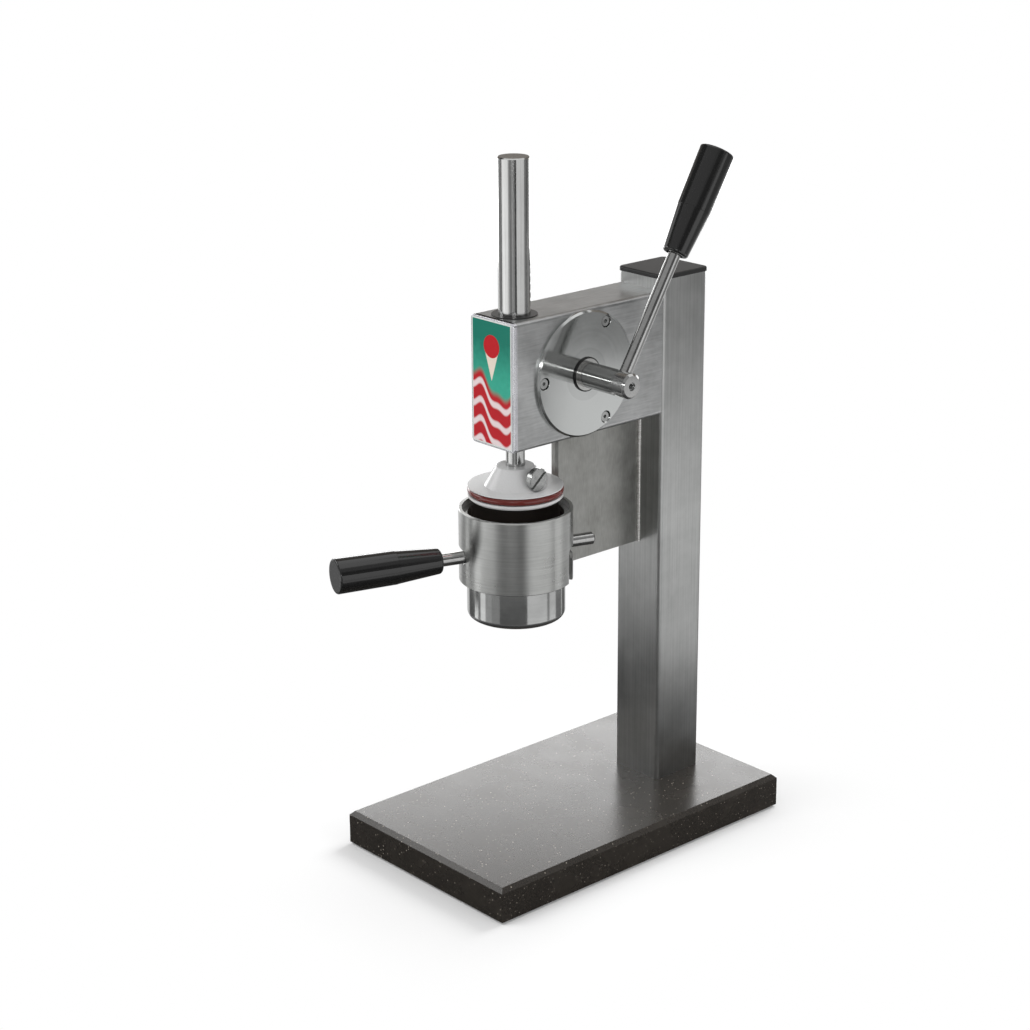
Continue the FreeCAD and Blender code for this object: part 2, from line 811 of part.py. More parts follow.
def piston_o_ring():
    middle = Vector(middle_x, ram_y, piston_top - lip_thickness - (o_ring_cord + groove_play) / 2)
    return Part.makeTorus(bore_radius - seal_play - o_ring_cord / 2, o_ring_cord / 2, middle, UP)


def piston_clamp_screw():
    start = clamp_screw_start() + RIGHT * (stub_diameter / 2 + running_play)
    seat = clamp_screw_start() + RIGHT * clamp_seat_radius()
    face = seat + RIGHT * clamp_head_thickness
    screw = joined([bar(clamp_screw_diameter, start, seat), bar(clamp_head_diameter, seat, face)])
    rim = [edge for edge in screw.Edges if edge.BoundBox.XMin > face.x - edge_search]
    screw = screw.makeChamfer(clamp_head_edge, rim)
    slot = block(Vector(face.x - clamp_slot_depth, ram_y - clamp_head_diameter,
                        face.z - clamp_slot_width / 2),
                 Vector(face.x + clamp_slot_depth, ram_y + clamp_head_diameter,
                        face.z + clamp_slot_width / 2))
    slot.rotate(face, RIGHT, clamp_slot_angle)
    return screw.cut(slot)


def pinion_key():
    half = (pinion_width - key_side / 2) / 2
    low = shaft_z + shaft_diameter / 2 - key_side / 2
    return block(Vector(middle_x - half, shaft_y - key_side / 2, low),
                 Vector(middle_x + half, shaft_y + key_side / 2, low + key_side))


def involute_flank(side, tooth_angle):
    """One flank of a pinion tooth, from the base circle to the tip."""
    pressure = math.radians(pressure_angle)
    base_radius = pitch_radius * math.cos(pressure)
    half_tooth = math.pi / (2 * pinion_teeth) - backlash / (4 * pitch_radius)
    pitch_involute = math.tan(pressure) - pressure
    points = []
    for step in range(flank_steps + 1):
        radius = base_radius + (tip_radius - base_radius) * step / flank_steps
        slant = math.acos(base_radius / radius)
        spread = half_tooth + pitch_involute - (math.tan(slant) - slant)
        angle = tooth_angle + side * spread
        points.append(Vector(0, radius * math.cos(angle), radius * math.sin(angle)))
    return points


def pinion_outline():
    """The closed outline of all the teeth, one of which points at the ram."""
    edges = []
    step = 2 * math.pi / pinion_teeth
    for tooth in range(pinion_teeth):
        angle = math.pi + tooth * step
        rising = involute_flank(-1, angle)
        falling = involute_flank(1, angle)
        falling.reverse()
        next_rising = involute_flank(-1, angle + step)
        root_start = falling[-1] * (root_radius / falling[-1].Length)
        root_end = next_rising[0] * (root_radius / next_rising[0].Length)
        root_before = rising[0] * (root_radius / rising[0].Length)
        tip = Vector(0, tip_radius * math.cos(angle), tip_radius * math.sin(angle))
        valley_angle = angle + step / 2
        valley = Vector(0, math.cos(valley_angle), math.sin(valley_angle)) * root_radius
        edges.append(Part.makeLine(root_before, rising[0]))
        edges.append(smooth_curve(rising))
        edges.append(Part.Arc(rising[-1], tip, falling[0]).toShape())
        edges.append(smooth_curve(falling))
        edges.append(Part.makeLine(falling[-1], root_start))
        edges.append(Part.Arc(root_start, valley, root_end).toShape())
    return Part.Wire(Part.__sortEdges__(edges))


def smooth_curve(points):
    curve = Part.BSplineCurve()
    curve.interpolate(points)
    return curve.toShape()


def pinion():
    gear = Part.Face(pinion_outline()).extrude(RIGHT * pinion_width)
    gear.translate(Vector(middle_x - pinion_width / 2, shaft_y, shaft_z))
    start = Vector(middle_x - pinion_width / 2, shaft_y, shaft_z)
    end = start + RIGHT * pinion_width
    gear = gear.cut(bar(shaft_diameter, start, end))
    rim = root_radius - web_rim
    hub = shaft_diameter / 2 + web_hub
    for face, inward in ((start, RIGHT), (end, -RIGHT)):
        recess = bar(2 * rim, face, face + inward * web_recess)
        gear = gear.cut(recess.cut(bar(2 * hub, face, face + inward * web_recess)))
    return gear.cut(pinion_key())


def pinion_circlips():
    groove = shaft_diameter / 2 - circlip_groove
    rings = []
    for side in (-1, 1):
        near = Vector(middle_x + side * pinion_width / 2, shaft_y, shaft_z)
        far = near + RIGHT * side * circlip_thickness
        ring = bar(2 * (groove + circlip_section), near, far).cut(bar(2 * groove, near, far))
        low_x = min(near.x, far.x)
        opening = block(Vector(low_x, shaft_y - circlip_opening / 2, shaft_z - shaft_diameter),
                        Vector(low_x + circlip_thickness, shaft_y + circlip_opening / 2, shaft_z))
        rings.append(ring.cut(opening))
    return Part.makeCompound(rings)


def lever_direction():
    lean = math.radians(lever_lean)
    return Vector(0, math.sin(lean), math.cos(lean))


def lever_rod():
    middle = Vector(lever_x, shaft_y, shaft_z)
    tail = middle - lever_direction() * lever_tail
    reach = lever_to_grip + grip_bore_depth - body_play
    return bar(lever_diameter, tail, middle + lever_direction() * reach)


def lever_grip():
    middle = Vector(lever_x, shaft_y, shaft_z)
    return grip(middle + lever_direction() * lever_to_grip, lever_direction())


def grub_screw_run():
    near = Vector(lever_x + lever_diameter / 2, shaft_y, shaft_z)
    return near, Vector(shaft_end, shaft_y, shaft_z)


def lever_grub_screw():
    near, end = grub_screw_run()
    face = end - RIGHT * grub_screw_sink
    screw = bar(grub_screw_diameter, near + RIGHT * seat_play, face)
    return screw.cut(hexagon(grub_screw_socket, face, grub_screw_diameter / 2, -RIGHT))


def crank_shaft():
    start = left_wall_inside() + RIGHT * shaft_end_gap
    end = Vector(shaft_end, shaft_y, shaft_z)
    shaft = bar(shaft_diameter, start, end)
    faces = [edge for edge in shaft.Edges if isinstance(edge.Curve, Part.Circle)]
    shaft = shaft.makeChamfer(shaft_chamfer, faces)
    groove = shaft_diameter / 2 - circlip_groove
    for side in (-1, 1):
        near = Vector(middle_x + side * pinion_width / 2, shaft_y, shaft_z)
        far = near + RIGHT * side * circlip_thickness
        shaft = shaft.cut(bar(2 * shaft_diameter, near, far).cut(bar(2 * groove, near, far)))
    hole = lever_diameter / 2 + running_play
    sink_floor = (shaft_diameter - lever_sink_diameter) / 2 + hole
    reach = shaft_diameter
    cross = turned([(0, -reach), (hole, -reach), (hole, sink_floor),
                    (hole + reach - sink_floor, reach), (0, reach)],
                   Vector(lever_x, shaft_y, shaft_z), lever_direction())
    near, end = grub_screw_run()
    tapped = bar(grub_screw_diameter + 2 * running_play, near, end)
    return shaft.cut(cross).cut(tapped).cut(pinion_key())


NODES = {
    "base_slab": base_slab,
    "anti_slip_mat": anti_slip_mat,
    "column": column,
    "column_cap": column_cap,
    "column_foot": column_foot,
    "base_bolts": base_bolts,
    "base_washers": base_washers,
    "head_housing": head_housing,
    "head_front_cover": head_front_cover,
    "front_label": front_label,
    "bearing_flange": bearing_flange,
    "flange_screws": flange_screws,
    "shaft_bush_right": shaft_bush_right,
    "left_bearing_boss": left_bearing_boss,
    "shaft_bush_left": shaft_bush_left,
    "ram_bush_top": ram_bush_top,
    "ram_bush_bottom": ram_bush_bottom,
    "bracket_plate": bracket_plate,
    "bracket_welds": bracket_welds,
    "cup_sleeve": cup_sleeve,
    "cup_ring": cup_ring,
    "cup_tube": cup_tube,
    "die_plate": die_plate,
    "cup_handle_bar": cup_handle_bar,
    "cup_handle_grip": cup_handle_grip,
    "cup_rear_pin": cup_rear_pin,
    "ram_rack_bar": ram_rack_bar,
    "piston": piston,
    "piston_o_ring": piston_o_ring,
    "piston_clamp_screw": piston_clamp_screw,
    "crank_shaft": crank_shaft,
    "pinion": pinion,
    "pinion_key": pinion_key,
    "pinion_circlips": pinion_circlips,
    "lever_rod": lever_rod,
    "lever_grip": lever_grip,
    "lever_grub_screw": lever_grub_screw,
}

os.makedirs("parts", exist_ok=True)
for name, build in NODES.items():
    save(build(), name)
print("ram travel: down", round(ram_down_travel, 2), "up", ram_up_travel)
print("ram and cup axis", middle_x, ram_y, "shaft axis", round(shaft_y, 3), round(shaft_z, 3))
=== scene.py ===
import math

import bmesh
import bpy
from mathutils import Euler, Matrix, Vector


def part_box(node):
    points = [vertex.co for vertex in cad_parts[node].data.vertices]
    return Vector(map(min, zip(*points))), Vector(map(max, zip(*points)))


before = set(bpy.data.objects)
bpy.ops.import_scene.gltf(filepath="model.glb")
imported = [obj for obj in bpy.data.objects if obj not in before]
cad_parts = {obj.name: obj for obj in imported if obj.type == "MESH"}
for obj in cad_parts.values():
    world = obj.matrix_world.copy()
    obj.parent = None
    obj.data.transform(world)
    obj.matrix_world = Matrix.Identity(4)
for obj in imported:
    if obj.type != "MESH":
        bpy.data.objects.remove(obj)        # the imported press: bodies, nodes, joints and record
bpy.context.view_layer.update()

MM = 0.001

# The room is a pale floor under soft lamps. The camera stands where the
# photographer stood, in front of the press and to its right.
camera_azimuth = math.radians(48.34)
camera_elevation = math.radians(18.67)
camera_roll = math.radians(-0.37)
camera_distance = 1971.2 * MM
camera_target = Vector((-78.35, 14.0, 252.2)) * MM
camera_lens = 82.58
camera_sensor = 36
camera_turn = Euler((math.pi / 2 - camera_elevation, 0, camera_azimuth)).to_matrix()
camera_turn = camera_turn @ Matrix.Rotation(camera_roll, 3, "Z")
camera_data = bpy.data.cameras.new("camera")
camera_data.lens = camera_lens
camera_data.sensor_width = camera_sensor
camera = bpy.data.objects.new("camera", camera_data)
camera.matrix_world = camera_turn.to_4x4()
camera.location = camera_target + camera_turn @ Vector((0, 0, camera_distance))
bpy.context.scene.collection.objects.link(camera)
bpy.context.scene.camera = camera
bpy.context.scene.view_settings.view_transform = "Standard"


def linear(hex_colour):
    """Turns an sRGB hex colour such as 8c8c8c into linear red, green, blue and alpha."""
    channels = [int(hex_colour[start:start + 2], 16) / 255 for start in (0, 2, 4)]
    return [c / 12.92 if c <= 0.04045 else ((c + 0.055) / 1.055) ** 2.4 for c in channels] + [1]


def add_node(tree, kind, settings=None, inputs=None):
    """Adds a shader node; an input is a plain value or another node's output socket."""
    node = tree.nodes.new(kind)
    for name, value in (settings or {}).items():
        setattr(node, name, value)
    for name, value in (inputs or {}).items():
        if isinstance(value, bpy.types.NodeSocket):
            tree.links.new(value, node.inputs[name])
        else:
            node.inputs[name].default_value = value
    return node


def seen_directly(tree):
    """One for a ray from the camera or from a mirror or glass, and none for other light."""
    path = add_node(tree, "ShaderNodeLightPath")
    shiny = add_node(tree, "ShaderNodeMath", {"operation": "MAXIMUM"},
                     {0: path.outputs["Is Glossy Ray"], 1: path.outputs["Is Transmission Ray"]})
    return add_node(tree, "ShaderNodeMath", {"operation": "MAXIMUM"},
                    {0: path.outputs["Is Camera Ray"], 1: shiny.outputs[0]}).outputs[0]


# The surroundings are plain white to look at and in mirrors, and dimmer as a light.
plain_white = 1.0
world_fill = 0.54
world = bpy.data.worlds.new("pale_studio")
world.use_nodes = True
world.node_tree.nodes.clear()
fill = add_node(world.node_tree, "ShaderNodeBackground", None,
                {"Color": linear("ffffff"), "Strength": world_fill})
white = add_node(world.node_tree, "ShaderNodeBackground", None,
                 {"Color": linear("ffffff"), "Strength": plain_white})
mixed = add_node(world.node_tree, "ShaderNodeMixShader", None,
                 {0: seen_directly(world.node_tree), 1: fill.outputs[0], 2: white.outputs[0]})
add_node(world.node_tree, "ShaderNodeOutputWorld", None, {"Surface": mixed.outputs[0]})
bpy.context.scene.world = world


press_middle = Vector((0, 0, 250)) * MM


def softbox(name, place, size, watts):
    """A square soft lamp that points at the middle of the press. Steel doesn't mirror it,
    because the lit panels round the press stand for it there."""
    data = bpy.data.lights.new(name, "AREA")
    data.size = size
    data.energy = watts
    lamp = bpy.data.objects.new(name, data)
    aim = press_middle - Vector(place)
    lamp.rotation_euler = aim.to_track_quat("-Z", "Y").to_euler()
    lamp.location = place
    lamp.visible_glossy = False
    bpy.context.scene.collection.objects.link(lamp)


softbox("key_softbox", (-0.7, -1.4, 2.0), 1.2, 19)
softbox("rear_softbox", (-0.1, 1.6, 1.9), 1.2, 32)
softbox("side_softbox", (1.9, 0.3, 0.9), 0.9, 7)


def new_material(name):
    """An empty node material."""
    material = bpy.data.materials.new(name)
    material.use_nodes = True
    material.node_tree.nodes.clear()
    return material


def finish_material(material, shader):
    """Gives a material its shader."""
    add_node(material.node_tree, "ShaderNodeOutputMaterial", None, {"Surface": shader.outputs[0]})
    return material


def studio_floor_paper():
    """Matt white paper. It keeps the slab's shadow and is plain white away from it."""
    slab_right, slab_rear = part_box("base_slab")[1][:2]
    any_height = 1
    shadow_reach = 130 * MM
    shadow_lift = 0.10
    material = new_material("studio_floor_paper")
    tree = material.node_tree
    place = add_node(tree, "ShaderNodeTexCoord").outputs["Object"]
    spread = add_node(tree, "ShaderNodeVectorMath", {"operation": "ABSOLUTE"}, {0: place})
    outside = add_node(tree, "ShaderNodeVectorMath", {"operation": "SUBTRACT"},
                       {0: spread.outputs[0], 1: (slab_right, slab_rear, any_height)})
    beyond = add_node(tree, "ShaderNodeVectorMath", {"operation": "MAXIMUM"},
                      {0: outside.outputs[0], 1: (0, 0, 0)})
    reach = add_node(tree, "ShaderNodeVectorMath", {"operation": "LENGTH"}, {0: beyond.outputs[0]})
    far = add_node(tree, "ShaderNodeMapRange", {"interpolation_type": "SMOOTHSTEP"},
                   {"Value": reach.outputs["Value"], "From Min": 0.0, "From Max": shadow_reach})
    paper = add_node(tree, "ShaderNodeBsdfDiffuse", None, {"Color": linear("ebebeb")})
    lift = add_node(tree, "ShaderNodeEmission", None, {"Color": linear("ffffff"), "Strength": shadow_lift})
    white_paper = add_node(tree, "ShaderNodeAddShader", None, {0: paper.outputs[0], 1: lift.outputs[0]})
    plain = add_node(tree, "ShaderNodeEmission", None,
                     {"Color": linear("ffffff"), "Strength": plain_white})
    near_and_far = add_node(tree, "ShaderNodeMixShader", None,
                            {0: far.outputs[0], 1: white_paper.outputs[0], 2: plain.outputs[0]})
    shader = add_node(tree, "ShaderNodeMixShader", None,
                      {0: seen_directly(tree), 1: paper.outputs[0], 2: near_and_far.outputs[0]})
    return finish_material(material, shader)


def object_from(bm, name, *materials):
    """Makes a scene object from a bmesh, with its place in its mesh."""
    mesh = bpy.data.meshes.new(name)
    bm.to_mesh(mesh)
    bm.free()
    for material in materials:
        mesh.materials.append(material)
    piece = bpy.data.objects.new(name, mesh)
    bpy.context.scene.collection.objects.link(piece)
    return piece


floor_radius = 6.0
floor_segments = 96
floor_mesh = bmesh.new()
bmesh.ops.create_circle(floor_mesh, cap_ends=True, segments=floor_segments,
                        radius=floor_radius)
object_from(floor_mesh, "floor", studio_floor_paper())

# Round the press, outside the picture, stand dark cards and lit panels, as in a
# product studio. Only mirrors see them, and steel gets its upright bands from them.
sleeve_low, sleeve_high = (Vector(corner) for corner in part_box("cup_sleeve"))
ram_axis = Vector(((sleeve_low.x + sleeve_high.x) / 2, (sleeve_low.y + sleeve_high.y) / 2, 0))
card_radius = 950
card_steps = 24
floor_card_height = 0.2
towards_camera = -90 + math.degrees(camera_azimuth)


def object_place(tree, scale, centre=(0, 0, 0)):
    """Object coordinates in metres, counted from a centre and stretched for a pattern."""
    place = add_node(tree, "ShaderNodeTexCoord").outputs["Object"]
    start = [-along * stretch for along, stretch in zip(centre, scale)]
    return add_node(tree, "ShaderNodeMapping", {"vector_type": "POINT"},
                    {"Vector": place, "Location": start, "Scale": scale}).outputs[0]


def card_felt(name, inner, outer, glow, tint):
    """Lit felt whose brightness fades from one end of the card to the other."""
    material = new_material(name)
    tree = material.node_tree
    place = object_place(tree, (1, 1, 1), ram_axis)
    level = add_node(tree, "ShaderNodeVectorMath", {"operation": "MULTIPLY"}, {0: place, 1: (1, 1, 0)})
    out = add_node(tree, "ShaderNodeVectorMath", {"operation": "LENGTH"}, {0: level.outputs[0]})
    height = add_node(tree, "ShaderNodeSeparateXYZ", None, {0: place})
    along = add_node(tree, "ShaderNodeMath", {"operation": "ADD"},
                     {0: out.outputs["Value"], 1: height.outputs["Z"]})
    fade = add_node(tree, "ShaderNodeMapRange", None,
                    {"Value": along.outputs[0], "From Min": sum(inner) * MM,
                     "From Max": sum(outer) * MM, "To Min": glow[0], "To Max": glow[1]})
    felt = add_node(tree, "ShaderNodeEmission", None,
                    {"Color": linear(tint), "Strength": fade.outputs[0]})
    return finish_material(material, felt)


def card(name, start, end, inner, outer, glow, tint="ffffff"):
    """A card between two angles, counted in degrees rightwards from the camera's direction.
    It runs from an inner to an outer (radius, height) in millimetres."""
    first = math.radians(towards_camera + start)
    card_mesh = bmesh.new()
    ends = []
    for radius, height in (inner, outer):
        out = Vector((math.cos(first) * radius, math.sin(first) * radius, height)) * MM
        ends.append(card_mesh.verts.new(ram_axis + out))
    edge = card_mesh.edges.new(ends)
    bmesh.ops.spin(card_mesh, geom=ends + [edge], axis=(0, 0, 1), cent=ram_axis,
                   angle=math.radians(end - start), steps=card_steps)
    piece = object_from(card_mesh, name, card_felt(name + "_felt", inner, outer, glow, tint))
    piece.visible_camera = False
    piece.visible_diffuse = False
    piece.visible_shadow = False


def wall_card(name, start, end, low, high, glow, tint="ffffff"):
    """An upright card between two heights."""
    card(name, start, end, (card_radius, low), (card_radius, high), glow, tint)


def floor_card(name, start, end, inner, outer, glow):
    """A card that lies on the floor between two radii."""
    card(name, start, end, (inner, floor_card_height), (outer, floor_card_height), glow)


# The wall cards stand all round. In each line are the two angles, the low and high
# end, and the light at each. Left is lit, the camera's side is dark with one dim
# stripe, and the right is dim above and lit below. The slit on the camera's side
# draws the bright line along the crank shaft.
wall_cards = {
    "left_rear": (-128, -103, 0, 512, 0.28, 0.28),
    "left_edge": (-103, -91, 0, 512, 0.30, 0.20),
    "left_high": (-116, -91, 512, 900, 2.6, 2.6),
    "left_bright": (-91, -64, 0, 480, 1.5, 1.5),
    "left_soft": (-64, -41, 0, 480, 1.25, 1.25),
    "front_half": (-41, -31, 0, 480, 0.55, 0.55),
    "front_dim": (-31, -16, 0, 480, 0.27, 0.27),
    "front_stripe": (-16, -5, 0, 480, 0.50, 0.50),
    "front_low": (-5, 6, 0, 480, 0.34, 0.34),
    "front_dark": (6, 18, 0, 560, 0.03, 0.03),
    "right_bright": (18, 76, 0, 560, 0.88, 0.95),
    "right_line": (76, 83.5, 0, 1100, 0.36, 0.22),
    "right_foot": (83.5, 91.5, 0, 145, 0.82, 0.86),
    "right_fading": (83.5, 91.5, 145, 195, 0.86, 0.26),
    "right_dim": (83.5, 91.5, 195, 1100, 0.26, 0.14),
    "right_side_foot": (91.5, 108, 0, 110, 0.85, 0.55),
    "right_side": (91.5, 108, 110, 220, 0.46, 0.26),
    "right_side_dim": (91.5, 108, 220, 1100, 0.26, 0.16),
    "right_rear": (108, 128, 0, 560, 0.40, 0.40),
    "high_left": (-150, -91, 900, 1700, 0.10, 0.10),
    "front_over_bright": (-91, -14, 480, 640, 0.25, 0.25),
    "front_over_dark": (-14, 15, 480, 570, 0.16, 0.16),
    "front_slit": (-14, 10, 570, 630, 7.0, 7.0),
    "high_front": (-91, 15, 640, 950, 0.20, 0.28),
    "top_front": (-91, 15, 950, 1900, 0.42, 0.42),
    "high_right": (15, 52, 560, 1000, 0.11, 0.13),
    "top_right": (15, 76, 1000, 1900, 0.35, 0.35),
    "high_side": (52, 76, 620, 1000, 0.30, 0.30),
}
for name, (start, end, low, high, *glow) in wall_cards.items():
    wall_card(f"{name}_card", start, end, low, high, glow)

# The panels behind the press give the slab its sheen and the bars their bright edges.
wall_card("rear_window_low_panel", 138, 222, 100, 290, (0.85, 0.85))
wall_card("rear_window_panel", 138, 222, 290, 420, (5.6, 5.6))
wall_card("rear_window_edge", 138, 222, 420, 600, (3.9, 0.5))
wall_card("rear_high_card", 118, 222, 600, 720, (0.55, 0.45), "e8e6e3")
wall_card("rear_top_card", 118, 222, 720, 1500, (0.32, 0.32), "dcd2c8")

# The floor cards lie round the slab: dark near it and towards the camera, so that
# steel darkens towards its foot, and lit strips on both sides.
floor_cards = {
    "near": (0, 360, 0, 300, 0.02, 0.10),
    "near_left_rear": (-140, -98, 300, 430, 0.24, 0.40),
    "near_right": (-98, 220, 300, 430, 0.14, 0.20),
    "left_rear_inner": (-140, -111, 430, 670, 0.12, 0.12),
    "left_rear_patch": (-111, -98, 430, 605, 0.45, 1.7),
    "left_rear_gap": (-111, -98, 605, 670, 0.12, 0.12),
    "left_rear_outer": (-140, -117, 670, 950, 0.35, 0.35),
    "left_rear_lit": (-117, -107, 670, 950, 1.5, 1.5),
    "left_edge_inner": (-98, -90, 430, 670, 0.25, 0.25),
    "left_edge_dark": (-107, -97, 670, 950, 0.05, 0.05),
    "left_edge_outer": (-97, -90, 670, 950, 0.60, 0.25),
    "left_bright": (-90, -75, 430, 950, 1.05, 1.05),
    "left_soft": (-75, -58, 430, 950, 0.46, 0.42),
    "left_dim": (-58, -38, 430, 950, 0.36, 0.28),
    "front_inner": (-38, 25, 430, 670, 0.13, 0.13),
    "front_outer": (-38, 25, 670, 950, 0.22, 0.22),
    "right_bright": (25, 75, 430, 950, 0.90, 0.55),
    "right_line": (75, 84, 430, 950, 0.33, 0.33),
    "right_edge": (84, 103, 430, 470, 0.22, 0.22),
    "right_inner": (84, 103, 470, 570, 1.50, 1.10),
    "right_outer": (84, 103, 570, 950, 0.55, 1.30),
    "right_rear_inner": (103, 128, 430, 670, 0.20, 0.20),
    "right_rear_outer": (103, 128, 670, 950, 0.60, 0.60),
    "rear": (128, 220, 430, 950, 0.70, 0.70),
}
for name, (start, end, inner, outer, *glow) in floor_cards.items():
    floor_card(f"{name}_floor_card", start, end, inner, outer, glow)


# The base is one slab of dark granite, sawn, chamfered and polished all over.
# Fine pale crystals show in it like dust, and it stands on a thin rubber mat.


def paint_node(material, *nodes):
    """Gives a carried-over node of the press its material."""
    for name in nodes:
        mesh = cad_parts[name].data
        mesh.materials.clear()
        mesh.materials.append(material)


def polished_dark_granite():
    """Granite, polished: a brown black body with a few pale specks and a soft sheen. Its
    grain is drawn some three times as coarse as it is, so that it shows."""
    speck_cell = 3.0 * MM
    speck_size = (0.12, 0.22)
    speck_chosen = 0.6
    grain = 1.6 * MM
    cloud = 30 * MM
    material = new_material("polished_dark_granite")
    tree = material.node_tree
    specks = add_node(tree, "ShaderNodeTexVoronoi", {"feature": "F1"},
                      {"Vector": object_place(tree, [1 / speck_cell] * 3), "Scale": 1.0})
    speck = add_node(tree, "ShaderNodeMapRange", None,
                     {"Value": specks.outputs["Distance"], "From Min": speck_size[0],
                      "From Max": speck_size[1], "To Min": 1.0, "To Max": 0.0})
    lot = add_node(tree, "ShaderNodeSeparateColor", None, {"Color": specks.outputs["Color"]})
    bright = add_node(tree, "ShaderNodeMapRange", None,
                      {"Value": lot.outputs[0], "From Min": speck_chosen, "From Max": 1.0})
    speck_share = add_node(tree, "ShaderNodeMath", {"operation": "MULTIPLY"},
                           {0: speck.outputs[0], 1: bright.outputs[0]})
    grains = add_node(tree, "ShaderNodeTexNoise", None,
                      {"Vector": object_place(tree, [1 / grain] * 3), "Scale": 1.0, "Detail": 1.0,
                       "Roughness": 0.7})
    clouds = add_node(tree, "ShaderNodeTexNoise", None,
                      {"Vector": object_place(tree, [1 / cloud] * 3), "Scale": 1.0, "Detail": 4.0})
    blend = add_node(tree, "ShaderNodeMix", {"data_type": "FLOAT"},
                     {"Factor": 0.35, 2: grains.outputs["Fac"], 3: clouds.outputs["Fac"]})
    spread = add_node(tree, "ShaderNodeMapRange", None,
                      {"Value": blend.outputs[0], "From Min": 0.2, "From Max": 0.8})
    body = add_node(tree, "ShaderNodeMix", {"data_type": "RGBA"},
                    {"Factor": spread.outputs[0], 6: linear("1d1a17"), 7: linear("3a352f")})
    colour = add_node(tree, "ShaderNodeMix", {"data_type": "RGBA"},
                      {"Factor": speck_share.outputs[0], 6: body.outputs[2], 7: linear("b3aa9e")})
    polish = add_node(tree, "ShaderNodeMapRange", None,
                      {"Value": clouds.outputs["Fac"], "To Min": 0.22, "To Max": 0.32})
    shader = add_node(tree, "ShaderNodeBsdfPrincipled", None,
                      {"Base Color": colour.outputs[2], "Roughness": polish.outputs[0],
                       "IOR": 1.6})
    return finish_material(material, shader)


def black_sheet_rubber():
    """Rubber sheet, cut: dull black with a faint grain, drawn coarser than it is."""
    grain_size, grain_height = 0.8 * MM, 0.05 * MM
    material = new_material("black_sheet_rubber")
    tree = material.node_tree
    grain = add_node(tree, "ShaderNodeTexNoise", None,
                     {"Vector": object_place(tree, [1 / grain_size] * 3), "Scale": 1.0})
    bump = add_node(tree, "ShaderNodeBump", None,
                    {"Height": grain.outputs["Fac"], "Strength": 0.4, "Distance": grain_height})
    shader = add_node(tree, "ShaderNodeBsdfPrincipled", None,
                      {"Base Color": linear("1c1c1c"), "Roughness": 0.85, "Normal": bump.outputs[0]})
    return finish_material(material, shader)


paint_node(polished_dark_granite(), "base_slab")
paint_node(black_sheet_rubber(), "anti_slip_mat")

# The column is stainless square tube, ground upright with a belt. The belt leaves
# fine straight lines along it, and years of wiping leave a cloudy bloom.


